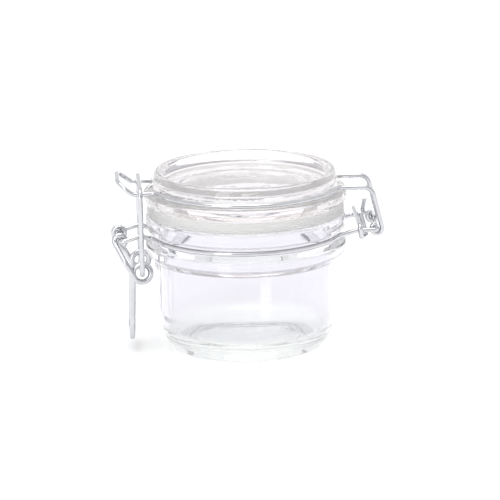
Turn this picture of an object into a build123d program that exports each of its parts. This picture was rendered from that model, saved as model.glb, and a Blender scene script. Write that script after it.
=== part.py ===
from build123d import *
import os
from math import acos, asin, atan2, cos, degrees, hypot, pi, radians, sin, sqrt, tan

# A small clip-top preserving jar: a glass jar and a glass lid with a soft gasket between
# them, held together by four bent steel wires. Millimetres, +Z up. The origin is on the
# jar's axis in the plane it stands on. The hinge is on the +X side, the latch on the -X side.

# ---- driving dimensions: glass -------------------------------------------------------
body_radius = 32.6          # straight wall of the jar
wall = 3.0                  # glass thickness of that wall
floor_top = 4.4             # inside floor above the table
floor_radius = 27.6         # where the inside wall would meet the floor, before rounding
foot_radius = 26.4          # outer edge of the resting ring, before its rounding
foot_inner_radius = 20.8    # inner edge of the resting ring
punt_height = 1.5           # how far the underside is pushed up inside the resting ring
bead_radius = 35.55         # the bead that carries the neck wire
bead_bottom = 32.3
bead_top = 39.7
groove_radius = 33.0        # bottom of the wire groove between bead and collar
collar_radius = 35.3
collar_bottom = 43.3
rim_height = 48.3           # the sealing face of the jar
mouth_radius = body_radius - wall

flange_radius = 36.0        # widest part of the lid
flange_bottom = 52.5
flange_top = 56.9
lid_ring_radius = 32.45     # foot of the raised ring on the lid, outside
lid_ring_bulge = 32.85      # the ring's widest part, above the wire
lid_ring_inner = 29.7       # edge inside the ring's round crest
lid_height = 63.9
panel_top = 59.6            # the sunk panel inside the ring
panel_bottom = 54.8
plug_radius = 27.9          # skirt of the lid that enters the mouth
plug_bottom = 47.9

gasket_inner = 29.1
gasket_outer = 34.9
gasket_gap = 0.1            # between gasket and jar rim, two different bodies

# ---- driving dimensions: wires -------------------------------------------------------
ring_wire = 1.7             # diameter of the neck wire and of the lid wire
bail_wire_size = 1.8
lever_wire_size = 2.0
running_gap = 0.15          # radial play of an eye on its axle

neck_z = 41.1               # plane of the neck wire's ring
neck_ring = groove_radius + ring_wire / 2 + 0.02
latch_x = -44.8             # cross bar of the neck wire on the latch side, the lever's axle
latch_z = 40.3
latch_half = 8.7            # half the distance between the latch loop's two arms
latch_rise_x = -37.6        # where those arms are highest
latch_rise_z = 42.5
axle_x = 45.9               # cross bar of the neck wire on the hinge side, the lid's axle
axle_z = 43.0
hinge_half = 11.6
hinge_rise_x = 38.6         # where the hinge arms reach the height of the axle
tie_x = 42.0                # the rear strand crosses here, low, to wrap round the front arm
wrap_x = 39.6               # and crosses back here, high, to rest on the rear arm
strand_pitch = ring_wire + 0.35
tip_rise = 5.6              # height of the front strand's upturned end above the axle

lid_wire_z = 58.0           # plane of the lid wire, on top of the flange
lid_ring = lid_ring_radius + ring_wire / 2 + 0.15
tongue_half = 10.3
tongue_bend_x = -40.2       # where the tongue turns upwards
tongue_tip_x = -45.2
tongue_rise = 4.0
lid_arm_half = 9.3
lid_arm_x = 44.1            # where the lid's arms turn down to the axle

coil_x = -37.3              # the bail's pivot in the lever's coils
coil_z = 29.4
coil_radius = 3.05          # to the middle of the wire
coil_outer_y = 10.9         # where a lever arm enters its coil
coil_inner_y = 8.8          # where the handle leg leaves it
eye_y = 5.9                 # the lever's eyes on their axle
arm_splay = 7.0             # how far down a lever arm has spread to its coil's plane
handle_bottom = 5.3         # middle of the handle's cross bar
handle_x = -41.2
bail_half = 13.5
bail_x = -37.5              # the bail's cross bar, on the tongue
bail_end_y = 8.1
bail_z = lid_wire_z + (ring_wire + bail_wire_size) / 2 + 0.1


# ---- helpers -------------------------------------------------------------------------
def turned(outline, corner_radii):
    """Revolve a closed outline of (radius, height) corners about the jar's axis."""
    corners = [(r, 0, z) for r, z in outline]
    edges = rounded_edges(corners + corners[:1], list(corner_radii[1:]))
    return revolve(Face(Wire(edges)), Axis.Z, 360)


def rounded_edges(points, bends):
    """Straight runs through points, joined by tangent arcs: one bend radius per inner point."""
    points = [Vector(*p) for p in points]
    edges = []
    start = points[0]
    for before, corner, after, bend in zip(points, points[1:], points[2:], bends):
        back = (before - corner).normalized()
        ahead = (after - corner).normalized()
        half_turn = radians(180 - back.get_angle(ahead)) / 2
        if bend == 0 or half_turn < 1e-6:
            edges.append(Edge.make_line(start, corner))
            start = corner
            continue
        reach = bend * tan(half_turn)
        arc_start = corner + back * reach
        arc_end = corner + ahead * reach
        inward = (back + ahead).normalized()
        arc_middle = corner + inward * (bend / cos(half_turn) - bend)
        if (arc_start - start).length > 1e-5:
            edges.append(Edge.make_line(start, arc_start))
        edges.append(Edge.make_three_point_arc(arc_start, arc_middle, arc_end))
        start = arc_end
    if (points[-1] - start).length > 1e-5:
        edges.append(Edge.make_line(start, points[-1]))
    return edges


def bent_wire(points, bends, diameter):
    """A round wire along points, bent at each inner one, with slightly rounded cut ends."""
    edges = rounded_edges(points, bends)
    path = Wire(edges)
    start_plane = Plane(origin=edges[0] @ 0, z_dir=edges[0] % 0)
    section = Wire(Edge.make_circle(diameter / 2, start_plane))
    solid = sweep(Face(section), path=path).solid()
    length = sum(edge.length for edge in edges)
    expected = length * pi * diameter ** 2 / 4
    print(f"  wire {length:.1f} mm long, volume over section x length {solid.volume / expected:.4f}")
    rims = [e for e in solid.edges() if e.geom_type == GeomType.CIRCLE and e.is_closed]
    ends = (Vector(*points[0]), Vector(*points[-1]))
    cut_rims = [e for e in rims if min((e.arc_center - end).length for end in ends) < 0.01]
    return solid.chamfer(diameter / 8, None, cut_rims)


def arc_corners(centre, radius, first, last, count):
    """Corners of the polygon about an arc from angle first to last, in (a, b) of its plane."""
    step = radians(last - first) / count
    reach = radius / cos(step / 2)
    corners = []
    for i in range(count):
        angle = radians(first) + step * (i + 0.5)
        corners.append((centre[0] + reach * cos(angle), centre[1] + reach * sin(angle)))
    return corners


def loop_to_ring(ring, half_gap, bend):
    """Where an arm at a distance half_gap from the middle leaves a ring: the x of the corner,
    and the angle at which the ring's round part starts."""
    centre_y = half_gap + bend
    centre_x = sqrt((ring + bend) ** 2 - centre_y ** 2)
    start = degrees(atan2(centre_y, centre_x))
    return centre_x - bend * tan(radians(90 - start) / 2), start


def save(shape, name):
    shape.label = name
    export_step(shape, f"parts/{name}.step")
    print(f"{name}: {shape.volume:.0f} mm3")


# ---- glass and gasket ----------------------------------------------------------------
def glass_jar():
    outline = [
        (0, punt_height), (foot_inner_radius - 1.5, punt_height), (foot_inner_radius, 0),
        (foot_radius, 0), (29.9, 4.6), (body_radius, 15.5),
        (body_radius, bead_bottom), (bead_radius, 34.7), (bead_radius, 38.1),
        (groove_radius, bead_top), (groove_radius, collar_bottom - 0.6),
        (collar_radius, collar_bottom), (collar_radius, rim_height),
        (mouth_radius, rim_height), (mouth_radius, 15.0),
        (floor_radius, floor_top), (0, floor_top + 0.6),
    ]
    rounding = [0, 1.5, 0.8, 2.4, 12, 35, 1.0, 1.9, 1.3, 0.7, 0.4, 0.5, 1.3, 1.0, 15, 6, 0]
    return turned(outline, rounding)


def glass_lid():
    outline = [
        (0, panel_bottom + 0.5), (24.6, panel_bottom), (25.8, plug_bottom),
        (plug_radius, plug_bottom), (plug_radius + 0.7, flange_bottom),
        (flange_radius - 0.6, flange_bottom), (flange_radius, 54.6),
        (flange_radius - 0.2, flange_top - 0.2), (lid_ring_radius, flange_top),
        (lid_ring_bulge, lid_height - 3.6), (lid_ring_bulge - 0.5, lid_height - 1.0),
        (31.1, lid_height + 0.33), (lid_ring_inner + 0.4, lid_height - 0.5),
        (lid_ring_inner, lid_height - 1.8), (28.4, panel_top), (0, panel_top + 0.4),
    ]
    rounding = [0, 1.6, 0.7, 0.7, 0.3, 0.7, 1.2, 1.0, 0.2, 6.0, 2.4, 1.0, 1.0, 0, 1.6, 0]
    return turned(outline, rounding)


def gasket():
    bottom = rim_height + gasket_gap
    outline = [(gasket_inner, bottom), (gasket_outer, bottom),
               (gasket_outer, flange_bottom), (gasket_inner, flange_bottom)]
    return turned(outline, [0.4, 0.5, 0.5, 0.4])


# ---- wires ---------------------------------------------------------------------------
def ring_side(ring, z, latch, hinge, bend, side):
    """Half a ring from its latch arm to its hinge arm, on the front (side -1) or rear (+1)."""
    left_x, left_angle = loop_to_ring(ring, latch, bend)
    right_x, right_angle = loop_to_ring(ring, hinge, bend)
    points = [(-left_x, side * latch, z)]
    for x, y in arc_corners((0, 0), ring, 180 - left_angle, right_angle, 6):
        points.append((x, side * y, z))
    points.append((right_x, side * hinge, z))
    return points, [bend * 0.9] + [ring] * 6 + [bend * 0.9]


def neck_wire():
    """One wire, from the front strand's upturned end to the rear strand's end on top."""
    front, front_bends = ring_side(neck_ring, neck_z, latch_half, hinge_half, 2.4, -1)
    rear, rear_bends = ring_side(neck_ring, neck_z, latch_half, hinge_half, 2.4, 1)
    beside = hinge_half + strand_pitch
    over = axle_z + strand_pitch
    under = axle_z - strand_pitch
    # the front strand: tip, rear corner, axle, front corner, front arm
    points = [
        (tie_x + 1.6, beside + 0.1, axle_z + tip_rise), (tie_x + 0.4, beside, axle_z),
        (axle_x, beside, axle_z), (axle_x, -hinge_half, axle_z),
        (hinge_rise_x, -hinge_half, axle_z),
    ]
    bends = [1.4, 1.3, 1.3, 3.0]
    # the ring and the latch loop
    points += front[::-1] + [
        (latch_rise_x, -latch_half, latch_rise_z), (latch_x, -latch_half, latch_z),
        (latch_x, latch_half, latch_z), (latch_rise_x, latch_half, latch_rise_z),
    ] + rear
    bends += front_bends[::-1] + [4.0, 1.6, 1.6, 4.0] + rear_bends
    # the rear strand: rear arm, under the front arm, up before it, back over both arms
    points += [
        (hinge_rise_x, hinge_half, axle_z), (tie_x, hinge_half, axle_z),
        (tie_x, 2 - hinge_half, under), (wrap_x + 0.3, -beside, under - 0.2),
        (wrap_x, -beside, over), (wrap_x - 0.2, beside, over),
    ]
    bends += [3.0, 1.6, 2.2, 1.3, 1.3]
    return bent_wire(points, bends, ring_wire)


def lid_eye(side):
    """From the free end, round the axle, to the arm's corner above it."""
    radius = ring_wire + running_gap
    corner = (lid_arm_x, lid_wire_z)
    away = hypot(corner[0] - axle_x, corner[1] - axle_z)
    toward = degrees(atan2(corner[1] - axle_z, corner[0] - axle_x))
    tangent = toward - degrees(acos(radius / away))
    free_end = (axle_x + radius * cos(radians(tangent - 275)),
                axle_z + radius * sin(radians(tangent - 275)))
    points = [free_end] + arc_corners((axle_x, axle_z), radius, tangent - 275, tangent, 5)
    return [(x, side * lid_arm_half, z) for x, z in points + [corner]], [radius] * 5


def lid_wire():
    """One wire: an eye on the axle, half the ring, the tongue, half the ring, an eye."""
    bend = 2.6
    front, front_bends = ring_side(lid_ring, lid_wire_z, tongue_half, lid_arm_half, bend, -1)
    rear, rear_bends = ring_side(lid_ring, lid_wire_z, tongue_half, lid_arm_half, bend, 1)
    front_eye, eye_bends = lid_eye(-1)
    rear_eye, eye_bends = lid_eye(1)
    tip_z = lid_wire_z + tongue_rise
    points = front_eye + front[::-1] + [
        (tongue_bend_x, -tongue_half, lid_wire_z), (tongue_tip_x, -tongue_half, tip_z),
        (tongue_tip_x, tongue_half, tip_z), (tongue_bend_x, tongue_half, lid_wire_z),
    ] + rear + rear_eye[::-1]
    bends = eye_bends + [3.6] + front_bends[::-1] + [3.0, 5.0, 5.0, 3.0]
    bends += rear_bends + [3.6] + eye_bends
    return bent_wire(points, bends, ring_wire)


def lever_side(side):
    """Half the lever: its eye on the neck wire, its arm, its coil and its handle leg."""
    eye = (ring_wire + lever_wire_size) / 2 + running_gap
    centre_gap = hypot(coil_x - latch_x, coil_z - latch_z)
    downhill = degrees(atan2(coil_z - latch_z, coil_x - latch_x))
    # the arm is a common tangent of both rounds, on their outer side
    leave = downhill - 90 - degrees(asin((coil_radius - eye) / centre_gap))
    along = radians(leave + 90)
    rim_x = latch_x + eye * cos(radians(leave))
    rim_z = latch_z + eye * sin(radians(leave))
    free_end = radians(leave - 265)
    points = [(latch_x + eye * cos(free_end), -eye_y, latch_z + eye * sin(free_end))]
    for x, z in arc_corners((latch_x, latch_z), eye, leave - 265, leave, 5):
        points.append((x, -eye_y, z))
    points.append((rim_x + arm_splay * cos(along), -coil_outer_y, rim_z + arm_splay * sin(along)))
    corners = arc_corners((coil_x, coil_z), coil_radius, leave, 180, 7)
    for i, (x, z) in enumerate(corners):
        y = coil_outer_y + (coil_inner_y - coil_outer_y) * i / (len(corners) - 1)
        points.append((x, -y, z))
    points.append((handle_x, -coil_inner_y, handle_bottom))
    bends = [eye * 0.97] * 5 + [3.0] + [coil_radius * 0.95] * 7 + [3.2]
    return [(x, -side * y, z) for x, y, z in points], bends


def lever_wire():
    front, bends = lever_side(-1)
    rear, bends = lever_side(1)
    return bent_wire(front + rear[::-1], bends + bends[::-1], lever_wire_size)


def bail_wire():
    points = [
        (coil_x, -bail_end_y, coil_z), (coil_x, -bail_half, coil_z),
        (bail_x, -bail_half, bail_z), (bail_x, bail_half, bail_z),
        (coil_x, bail_half, coil_z), (coil_x, bail_end_y, coil_z),
    ]
    return bent_wire(points, [1.8, 2.6, 2.6, 1.8], bail_wire_size)


os.makedirs("parts", exist_ok=True)
save(glass_jar(), "glass_jar")
save(glass_lid(), "glass_lid")
save(gasket(), "gasket")
save(neck_wire(), "neck_wire")
save(lid_wire(), "lid_wire")
save(lever_wire(), "lever_wire")
save(bail_wire(), "bail_wire")
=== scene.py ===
# %% [markdown]
# # A small clip-top preserving jar
#
# The jar is pressed glass with a pressed glass lid. A soft seal lies between them, and four bent
# steel wires make the hinge and the latch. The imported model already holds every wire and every
# glass body at its true size, so it is loaded first and everything else is fitted to it.

# %% Load the fixed frame
import math

import bmesh
import bpy
from mathutils import Matrix, Vector


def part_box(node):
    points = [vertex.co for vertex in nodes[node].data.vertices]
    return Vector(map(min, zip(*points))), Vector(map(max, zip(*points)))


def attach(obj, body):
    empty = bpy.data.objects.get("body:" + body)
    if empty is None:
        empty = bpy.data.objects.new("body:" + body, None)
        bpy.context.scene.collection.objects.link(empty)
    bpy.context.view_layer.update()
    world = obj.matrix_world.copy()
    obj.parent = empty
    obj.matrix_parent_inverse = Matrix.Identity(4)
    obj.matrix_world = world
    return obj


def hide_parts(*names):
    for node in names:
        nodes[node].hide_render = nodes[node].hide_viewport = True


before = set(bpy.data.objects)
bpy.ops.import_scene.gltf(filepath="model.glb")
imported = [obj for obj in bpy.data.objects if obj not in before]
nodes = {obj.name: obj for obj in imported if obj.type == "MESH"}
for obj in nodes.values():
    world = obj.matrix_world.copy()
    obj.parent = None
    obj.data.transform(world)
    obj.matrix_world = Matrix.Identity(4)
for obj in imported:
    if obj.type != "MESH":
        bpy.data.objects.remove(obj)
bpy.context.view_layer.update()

# %% [markdown]
# ## Sizes
#
# The outlines below are written in millimetres, as a glass maker's drawing has them, and a single
# factor turns them into Blender's metres. The main heights and radii are read from the loaded nodes,
# so that the glass turned here fits the wires. The few that a box doesn't give are written down.

# %% Units and main sizes
MM = 0.001


def node_box_mm(name):
    """Lowest and highest corner of a loaded node, in millimetres."""
    low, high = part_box(name)
    return low / MM, high / MM


_, jar_high = node_box_mm("glass_jar")
lid_low, lid_high = node_box_mm("glass_lid")
seal_low, seal_high = node_box_mm("gasket")
rim_height = jar_high.z
lid_height = lid_high.z
plug_bottom = lid_low.z
flange_radius = lid_high.x
bead_radius = jar_high.x
seal_radius = seal_high.x
flange_bottom = seal_high.z

# the rest of the glass outline, which the loaded boxes don't give
body_radius = 32.6
collar_radius = 35.3
groove_radius = 33.0
mouth_radius = 29.6
flange_top = 56.9
seal_bore_radius = 29.1
print(f"rim {rim_height:.2f} mm, lid top {lid_height:.2f} mm, flange radius {flange_radius:.2f} mm")

# %% [markdown]
# ## Camera
#
# A long lens a metre and a half away flattens the perspective, as in a catalogue picture of a small
# object. The camera looks slightly down, so that the lid's ellipse opens, and stands a few degrees
# towards the latch. Placing it by angles about a point on the jar's axis keeps it easy to change.

# %% Place the camera
look_at = Vector((0, 0, 31 * MM))
camera_distance = 1.5
camera_elevation = math.radians(14.2)
camera_azimuth = math.radians(-3)
camera_roll = math.radians(-1)

towards_camera = Vector((
    math.sin(camera_azimuth) * math.cos(camera_elevation),
    -math.cos(camera_azimuth) * math.cos(camera_elevation),
    math.sin(camera_elevation),
))
bpy.ops.object.select_all(action="DESELECT")
bpy.ops.object.camera_add(location=look_at + towards_camera * camera_distance)
camera = bpy.context.object
camera.name = "catalogue_camera"
aim = (-towards_camera).to_track_quat("-Z", "Y").to_matrix()
camera.rotation_euler = (aim @ Matrix.Rotation(camera_roll, 3, "Z")).to_euler()
camera.data.sensor_width = 36
camera.data.lens = 304.2
camera.data.shift_x = 0.0076
camera.data.shift_y = 0.0172
camera.data.clip_start = 0.05
camera.data.clip_end = 20
bpy.context.scene.camera = camera
print("camera at", [round(c, 3) for c in camera.location])

# %% [markdown]
# ## Shader arithmetic
#
# Glass and steel need many small sums: a mask by height, a little noise on top, one minus the mask.
# Written as nodes by hand these sums are long, so one small class wraps a socket and lets Python's
# own operators add the Math nodes. Every other node comes from a single method.

# %% A socket that can be used in sums
class Value:
    """One number socket of a shader tree, usable in Python expressions."""

    def __init__(self, tree, socket):
        self.tree = tree
        self.socket = socket

    def combine(self, operation, first, second):
        node = self.tree.nodes.new("ShaderNodeMath")
        node.operation = operation
        for socket, part in zip(node.inputs, (first, second)):
            if isinstance(part, Value):
                self.tree.links.new(part.socket, socket)
            else:
                socket.default_value = part
        return Value(self.tree, node.outputs[0])

    def __add__(self, other):
        return self.combine("ADD", self, other)

    def __radd__(self, other):
        return self.combine("ADD", other, self)

    def __sub__(self, other):
        return self.combine("SUBTRACT", self, other)

    def __rsub__(self, other):
        return self.combine("SUBTRACT", other, self)

    def __mul__(self, other):
        return self.combine("MULTIPLY", self, other)

    def __rmul__(self, other):
        return self.combine("MULTIPLY", other, self)


print("socket sums ready")

# %% A shader tree that adds nodes, and a finish made with it
class Shading:
    """Adds nodes to one shader tree, of a material or of the room."""

    def __init__(self, tree):
        self.tree = tree
        self.tree.nodes.clear()

    def node(self, kind, settings=None, sockets=None):
        """Add one node: its settings first, then the values or links of its sockets."""
        node = self.tree.nodes.new(kind)
        for key, value in (settings or {}).items():
            setattr(node, key, value)
        for key, value in (sockets or {}).items():
            socket = [s for s in node.inputs if s.enabled and key in (s.name, s.identifier)][0]
            if isinstance(value, Value):
                self.tree.links.new(value.socket, socket)
            else:
                socket.default_value = value
        return {s.name: Value(self.tree, s) for s in node.outputs if s.enabled}

    def rise(self, value, low, high):
        """0 below low, 1 above high, and a smooth step between."""
        return self.node("ShaderNodeMapRange", {"interpolation_type": "SMOOTHSTEP"},
                         {"Value": value, "From Min": low, "From Max": high})["Result"]

    def band(self, value, low, high, soft):
        """1 between low and high, falling to 0 over soft on each side."""
        return self.rise(value, low - soft, low) * (1 - self.rise(value, high, high + soft))

    def noise(self, point, scale, detail):
        return self.node("ShaderNodeTexNoise", {},
                         {"Vector": point, "Scale": scale, "Detail": detail})["Fac"]

    def blend_colours(self, mask, first, second):
        mixed = self.node("ShaderNodeMix", {"data_type": "RGBA"},
                          {"Factor": mask, "A": first, "B": second})
        return mixed["Result"]


class Finish(Shading):
    """A material under construction."""

    def __init__(self, name):
        self.material = bpy.data.materials.new(name)
        self.material.use_nodes = True
        super().__init__(self.material.node_tree)

    def point(self):
        """The point on the piece, in metres."""
        return self.node("ShaderNodeTexCoord")["Object"]

    def height(self, point):
        """The height of a point above the table."""
        return self.node("ShaderNodeSeparateXYZ", {}, {"Vector": point})["Z"]

    def radius(self, point):
        """The distance of a point from the jar's axis."""
        parts = self.node("ShaderNodeSeparateXYZ", {}, {"Vector": point})
        level = self.node("ShaderNodeCombineXYZ", {}, {"X": parts["X"], "Y": parts["Y"]})
        return self.node("ShaderNodeVectorMath", {"operation": "LENGTH"},
                         {"Vector": level["Vector"]})["Value"]

    def output(self, shader):
        self.node("ShaderNodeOutputMaterial", {}, {"Surface": shader})
        return self.material


print("shader helpers ready")

# %% [markdown]
# ## Clear pressed glass
#
# Clean glass takes a little of the light at each skin, and looks faintly green where it is thick, as
# at the foot. Real pressed glass is also never quite flat: its skin has slow waves from the mould.
# The Principled shader with full transmission gives the refraction, a colour that changes with
# height gives the tint, and a weak bump gives the waves. The outside of the lid's ring also gets a
# fine pebbling. Lamps would be blocked by refracting glass, so shadow rays meet a Transparent shader
# instead, and the jar lets the light through to the floor.

# %% Glass finish
glass_ior = 1.5
lamp_shade = (0.985, 0.987, 0.987, 1)       # what is left of a lamp's light behind each skin
pebbles_outside_radius = 31.8 * MM


def glass_finish(name, wall_tint, thick_tint, thick_band, pebbled_band=None):
    """Pressed glass with a tinted band and a pebbled band, each from one height to another."""
    glass = Finish(name)
    point = glass.point()
    height = glass.height(point)
    slow = glass.noise(point, 55.0, 2.0)
    fine = glass.noise(point, 420.0, 3.0)
    skin = slow + 0.05 * fine
    if pebbled_band:
        pebbles = glass.node("ShaderNodeTexVoronoi", {"feature": "SMOOTH_F1"},
                             {"Vector": point, "Scale": 650.0, "Smoothness": 0.6})["Distance"]
        pebbled = glass.band(height, *pebbled_band, 0.5 * MM)
        outside = glass.rise(glass.radius(point), pebbles_outside_radius - 0.4 * MM,
                             pebbles_outside_radius)
        skin = skin + 0.18 * pebbles * pebbled * outside
    tint = glass.blend_colours(glass.band(height, *thick_band, 4 * MM), wall_tint, thick_tint)
    bump = glass.node("ShaderNodeBump", {}, {"Strength": 0.35, "Distance": 0.5 * MM, "Height": skin})
    body = glass.node("ShaderNodeBsdfPrincipled", {}, {
        "Base Color": tint, "Roughness": 0.004 + 0.02 * fine * slow,
        "IOR": glass_ior, "Transmission Weight": 1.0, "Normal": bump["Normal"],
    })["BSDF"]
    passing = glass.node("ShaderNodeBsdfTransparent", {}, {"Color": lamp_shade})["BSDF"]
    lamp_ray = glass.node("ShaderNodeLightPath")["Is Shadow Ray"]
    mixed = glass.node("ShaderNodeMixShader", {},
                       {"Fac": lamp_ray, "Shader": body, "Shader_001": passing})
    return glass.output(mixed["Shader"])


jar_glass_finish = glass_finish(
    "pressed_jar_glass", (0.845, 0.837, 0.865, 1), (0.965, 0.985, 0.972, 1), (0, 6 * MM))
lid_glass_finish = glass_finish(
    "pressed_lid_glass", (0.965, 0.945, 0.95, 1), (0.985, 0.955, 0.95, 1),
    (53 * MM, 56 * MM), (57.5 * MM, 61 * MM))
print("glass finishes:", jar_glass_finish.name, lid_glass_finish.name)

# %% [markdown]
# ## Turned glass
#
# Both glass pieces are round, so each is one outline swept about the jar's axis. A vertex is pulled
# out of a merged primitive and extruded from corner to corner, each corner is rounded by a vertex
# bevel, and the whole outline is spun. Spinning in 256 steps with smooth shading keeps the edge
# lines in the refraction clean, which a coarser mesh would break up.

# %% Outline tools
same_corner = 0.005         # how near, in millimetres, a vertex is to a corner to count as it
degrees_per_step = 7        # of a rounded corner's turn
weld_distance = 0.002 * MM


def drawn_outline(name, corners):
    """An object whose mesh is an open chain of edges through (radius, height) corners."""
    bpy.ops.object.select_all(action="DESELECT")
    first = corners[0]
    bpy.ops.mesh.primitive_plane_add(size=MM, location=(first[0] * MM, 0, first[1] * MM))
    piece = bpy.context.object
    piece.name = name
    bpy.ops.object.transform_apply(location=True, rotation=True, scale=True)
    bpy.ops.object.mode_set(mode="EDIT")
    bpy.ops.mesh.select_mode(type="VERT")
    bpy.ops.mesh.select_all(action="SELECT")
    bpy.ops.mesh.merge(type="CENTER")
    for before, after in zip(corners, corners[1:]):
        step = ((after[0] - before[0]) * MM, 0, (after[1] - before[1]) * MM)
        bpy.ops.mesh.extrude_vertices_move(TRANSFORM_OT_translate={"value": step})
    return piece


def select_points(piece, wanted):
    """Select the vertices for which wanted(position in millimetres) is true."""
    mesh = bmesh.from_edit_mesh(piece.data)
    mesh.select_mode = {"VERT"}
    for edge_or_face in (*mesh.edges, *mesh.faces):
        edge_or_face.select = False
    for vertex in mesh.verts:
        vertex.select = wanted(vertex.co / MM)
    mesh.select_flush(True)
    bmesh.update_edit_mesh(piece.data)


def round_corners(piece, corners, radii):
    """Round each inner corner of the open chain with an arc of its radius."""
    for before, corner, after, radius in zip(corners, corners[1:], corners[2:], radii[1:]):
        if radius == 0:
            continue
        back = (Vector(before) - Vector(corner)).normalized()
        ahead = (Vector(after) - Vector(corner)).normalized()
        turn = math.pi - back.angle(ahead)
        reach = radius * math.tan(turn / 2)
        place = Vector((corner[0], 0, corner[1]))
        select_points(piece, lambda p: (p - place).length < same_corner)
        arc_steps = max(4, min(16, round(math.degrees(turn) / degrees_per_step)))
        bpy.ops.mesh.bevel(offset=reach * MM, affect="VERTICES", segments=arc_steps, profile=0.5)


def spun(piece, steps):
    """Sweep the outline once round the jar's axis and close its seam and poles."""
    bpy.ops.mesh.select_all(action="SELECT")
    bpy.ops.mesh.spin(steps=steps, angle=2 * math.pi, center=(0, 0, 0), axis=(0, 0, 1))
    bpy.ops.mesh.select_all(action="SELECT")
    bpy.ops.mesh.remove_doubles(threshold=weld_distance)
    bpy.ops.mesh.normals_make_consistent(inside=False)
    bpy.ops.object.mode_set(mode="OBJECT")
    bpy.ops.object.shade_smooth()
    print(piece.name, len(piece.data.polygons), "faces")


def dressed(piece, finish, body, replaced):
    """Give a finished piece its material and its body, and hide the node that it stands for."""
    piece.data.materials.clear()
    piece.data.materials.append(finish)
    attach(piece, body)
    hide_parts(replaced)


print("outline tools ready")

# %% [markdown]
# ## The jar
#
# From the middle of its underside outwards: a raised underside, the resting ring, a rounded heel, a
# straight wall, the bead that carries the neck wire, the wire's groove, the collar, the sealing rim,
# and back down inside to a floor with a wide fillet.

# %% Turn the jar
glass_steps = 256
jar_corners = [
    (0, 1.5), (19.3, 1.5), (20.8, 0), (26.4, 0), (29.9, 4.6),
    (body_radius, 15.5), (body_radius, 32.3), (bead_radius, 34.7), (bead_radius, 38.1),
    (groove_radius, 39.7), (groove_radius, 42.7), (collar_radius, 43.3),
    (collar_radius, rim_height), (mouth_radius, rim_height), (mouth_radius, 15.0),
    (27.6, 4.4), (0, 5.0),
]
jar_radii = [0, 1.5, 0.8, 2.4, 12, 35, 1.0, 1.9, 1.3, 0.7, 0.4, 0.5, 1.3, 1.0, 15, 6, 0]
jar_glass = drawn_outline("jar_glass", jar_corners)
round_corners(jar_glass, jar_corners, jar_radii)
spun(jar_glass, glass_steps)
dressed(jar_glass, jar_glass_finish, "jar", "glass_jar")

# %% [markdown]
# ## The lid
#
# A skirt that enters the mouth, a flange over the seal, a raised ring that the lid wire lies
# against, and a sunk panel. Shallow rings on the panel's underside are what the mould leaves there.

# %% Turn the lid
ripple_depth = 0.02
ripple_width = 1.6
ripples = []
for ring_radius in (9.0, 14.0, 19.0):
    ripples += [(ring_radius, 55.25), (ring_radius + ripple_width, 55.25 - ripple_depth),
                (ring_radius + 2 * ripple_width, 55.22)]
lid_corners = [(0, 55.3)] + ripples + [
    (24.6, 54.8), (25.8, plug_bottom), (27.9, plug_bottom), (28.6, flange_bottom),
    (flange_radius - 0.55, flange_bottom), (flange_radius + 0.05, 54.6),
    (flange_radius - 0.15, flange_top - 0.2),
    (32.45, flange_top), (32.85, lid_height - 3.6), (32.35, lid_height - 1.0),
    (31.1, lid_height + 0.33), (30.1, lid_height - 0.5), (29.7, lid_height - 1.8),
    (28.4, 59.6), (0, 60.0),
]
lid_radii = [0] + [3.0, 3.0, 3.0] * 3
lid_radii += [1.6, 0.7, 0.7, 0.3, 0.7, 1.2, 1.0, 0.2, 6.0, 2.4, 1.0, 1.0, 0.1, 1.6, 0]
lid_glass = drawn_outline("lid_glass", lid_corners)
round_corners(lid_glass, lid_corners, lid_radii)
spun(lid_glass, glass_steps)
dressed(lid_glass, lid_glass_finish, "lid", "glass_lid")

# %% [markdown]
# ## The soft seal
#
# A flat ring of translucent rubber with shallow ribs round its outer edge, which show as fine level
# lines between the flange and the rim. Its skin is matt, with a faint warm tone.

# %% Finish the seal
rubber = Finish("warm_translucent_rubber")
rubber_point = rubber.point()
grain = rubber.noise(rubber_point, 900.0, 4.0)
bloom = rubber.noise(rubber_point, 60.0, 2.0)
rubber_colour = rubber.blend_colours(bloom, (0.93, 0.93, 0.92, 1), (0.88, 0.88, 0.87, 1))
rubber_bump = rubber.node("ShaderNodeBump", {}, {
    "Strength": 0.3, "Distance": 0.1 * MM, "Height": grain})
rubber_shader = rubber.node("ShaderNodeBsdfPrincipled", {}, {
    "Base Color": rubber_colour, "Roughness": 0.38 + 0.2 * grain,
    "Transmission Weight": 0.5, "IOR": 1.41, "Normal": rubber_bump["Normal"],
})["BSDF"]
seal_finish = rubber.output(rubber_shader)
print("seal finished in", seal_finish.name)

# %% Turn the seal
seal_steps = 192
seal_height = seal_high.z - seal_low.z
rib_count = 4
plain_edge = 0.4            # the flat strip above and below the ribs
rib_pitch = (seal_height - 2 * plain_edge) / rib_count
rib_foot = seal_radius - 0.15
rib_crest = seal_radius + 0.05
ribs = []
for rib in range(rib_count):
    rib_bottom = seal_low.z + plain_edge + rib * rib_pitch
    ribs += [(rib_foot, rib_bottom + 0.15 * rib_pitch),
             (rib_crest, rib_bottom + 0.5 * rib_pitch),
             (rib_foot, rib_bottom + 0.85 * rib_pitch)]
seal_corners = [(seal_bore_radius, seal_low.z), (rib_foot, seal_low.z)] + ribs + [
    (rib_foot, seal_high.z), (seal_bore_radius, seal_high.z), (seal_bore_radius, seal_low.z)]
seal = drawn_outline("soft_seal", seal_corners)
round_corners(seal, seal_corners, [0, 0.35] + [0.4, 0.5, 0.4] * rib_count + [0.35, 0.4, 0])
spun(seal, seal_steps)
dressed(seal, seal_finish, "lid", "gasket")

# %% [markdown]
# ## Bright steel wire
#
# The four wires come from the loaded model as they are. Drawn wire is bright, with faint lines and
# a slightly uneven polish, so the finish is metal with a low, slightly patchy roughness.

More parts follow.
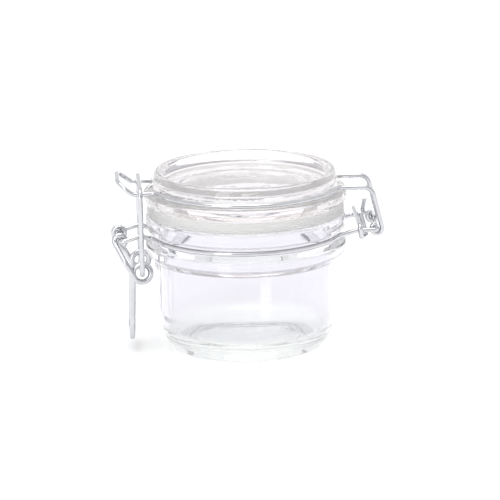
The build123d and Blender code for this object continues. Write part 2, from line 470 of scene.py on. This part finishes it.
# %% Finish the wires
steel = Finish("bright_drawn_steel")
wire_point = steel.point()
polish = steel.noise(wire_point, 240.0, 3.0)
drawn = steel.noise(wire_point, 2600.0, 2.0)
steel_colour = steel.blend_colours(polish, (0.52, 0.525, 0.55, 1), (0.70, 0.705, 0.72, 1))
steel_bump = steel.node("ShaderNodeBump", {}, {
    "Strength": 0.12, "Distance": 0.05 * MM, "Height": drawn})
steel_shader = steel.node("ShaderNodeBsdfPrincipled", {}, {
    "Base Color": steel_colour, "Metallic": 1.0, "Roughness": 0.05 + 0.11 * polish,
    "Normal": steel_bump["Normal"],
})["BSDF"]
steel_finish = steel.output(steel_shader)
for wire in ("neck_wire", "lid_wire", "lever_wire", "bail_wire"):
    nodes[wire].material_slots[0].material = steel_finish
print("wires finished in", steel_finish.name)

# %% [markdown]
# ## Floor and light
#
# Glass shows what surrounds it. A white floor behind it and a somewhat darker room leave the wall
# clear and draw its edges in grey, which is how clear glass is usually lit. The floor glows a little
# itself, like a light table, so that the foot stays bright. A broad overhead sun lights the floor
# evenly, and one tall soft panel adds a highlight.
#
# Light is reflected many times inside the bead, the collar and the heel before it leaves the glass.
# Each of those counts as a glossy bounce, so that limit is raised with the others; at its usual
# value the thick parts turn black.

# %% Floor
floor_nodes = Finish("pale_studio_floor")
floor_shader = floor_nodes.node("ShaderNodeBsdfPrincipled", {}, {
    "Base Color": (0.84, 0.84, 0.84, 1), "Roughness": 0.9, "Specular IOR Level": 0.1,
    "Emission Color": (1.0, 1.0, 1.0, 1), "Emission Strength": 0.22,
})["BSDF"]
bpy.ops.object.select_all(action="DESELECT")
bpy.ops.mesh.primitive_plane_add(size=12, location=(0, 0, 0))
floor = bpy.context.object
floor.name = "studio_floor"
floor.data.materials.append(floor_nodes.output(floor_shader))

# %% Room
room_bright = (0.98, 0.985, 1.0, 1)
room_dark = (0.62, 0.625, 0.63, 1)
room_strength = 0.95
world = bpy.data.worlds.new("studio_room")
bpy.context.scene.world = world
world.use_nodes = True
room = Shading(world.node_tree)
direction = room.node("ShaderNodeTexCoord")["Generated"]
towards_back = room.node("ShaderNodeSeparateXYZ", {}, {"Vector": direction})["Y"]
room_colour = room.blend_colours(room.rise(towards_back, -0.97, -0.45), room_dark, room_bright)
room_light = room.node("ShaderNodeBackground", {}, {"Color": room_colour, "Strength": room_strength})
room.node("ShaderNodeOutputWorld", {}, {"Surface": room_light["Background"]})
print("room set from", room_dark[:3], "to", room_bright[:3])

# %% Lamps
def add_light(kind, name, place, aim_at, energy):
    """A lamp at a place, in metres, turned towards a point."""
    bpy.ops.object.select_all(action="DESELECT")
    bpy.ops.object.light_add(type=kind, location=place)
    lamp = bpy.context.object
    lamp.name = name
    lamp.rotation_euler = (Vector(aim_at) - Vector(place)).to_track_quat("-Z", "Y").to_euler()
    lamp.data.energy = energy
    return lamp


overhead = add_light("SUN", "overhead_sun", (-0.12, -0.2, 1.2), (0, 0, 0), 1.1)
overhead.data.angle = math.radians(50)
panel = add_light("AREA", "tall_soft_panel", (-0.45, -0.75, 0.35), (0, 0, 0.03), 1.8)
panel.data.shape = "RECTANGLE"
panel.data.size = 0.28
panel.data.size_y = 0.8

scene = bpy.context.scene
scene.view_settings.view_transform = "Standard"
scene.cycles.caustics_reflective = False
scene.cycles.caustics_refractive = True
glass_bounces = 32
scene.cycles.max_bounces = glass_bounces
scene.cycles.glossy_bounces = glass_bounces
scene.cycles.transmission_bounces = glass_bounces
scene.cycles.transparent_max_bounces = 24
